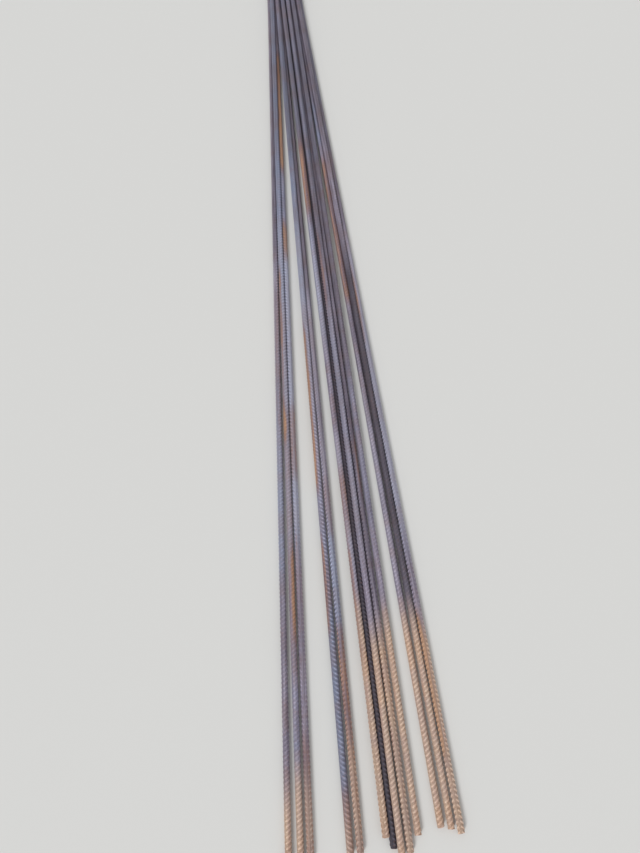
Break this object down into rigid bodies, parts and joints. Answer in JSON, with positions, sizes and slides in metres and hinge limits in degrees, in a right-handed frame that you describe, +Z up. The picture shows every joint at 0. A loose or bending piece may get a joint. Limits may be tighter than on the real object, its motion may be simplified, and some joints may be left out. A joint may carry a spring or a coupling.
{
  "type": "rebar bundle",
  "caption": "Loose bundle of ribbed steel reinforcing bars, drawn into a two-course stack at one end and fanned out flat at the other.",
  "frame": {"origin": "on the ground under the middle of the bundle's overall length and width", "axes": "+Z up; +Y along the bars, from the fanned open end to the stacked end; +X to the right seen from the open end"},
  "size_m": [0.3036, 3.0404, 0.0229],
  "materials": {
    "bar_steel": "hot-rolled steel with purple-grey mill scale, weathered to brown rust"
  },
  "bodies": {
    "root": {"bar_01": "bar_steel", "bar_02": "bar_steel", "bar_03": "bar_steel", "bar_04": "bar_steel", "bar_05": "bar_steel", "bar_06": "bar_steel", "bar_07": "bar_steel", "bar_08": "bar_steel", "bar_09": "bar_steel", "bar_10": "bar_steel", "bar_11": "bar_steel", "bar_12": "bar_steel", "bar_13": "bar_steel"}
  },
  "joints": []
}
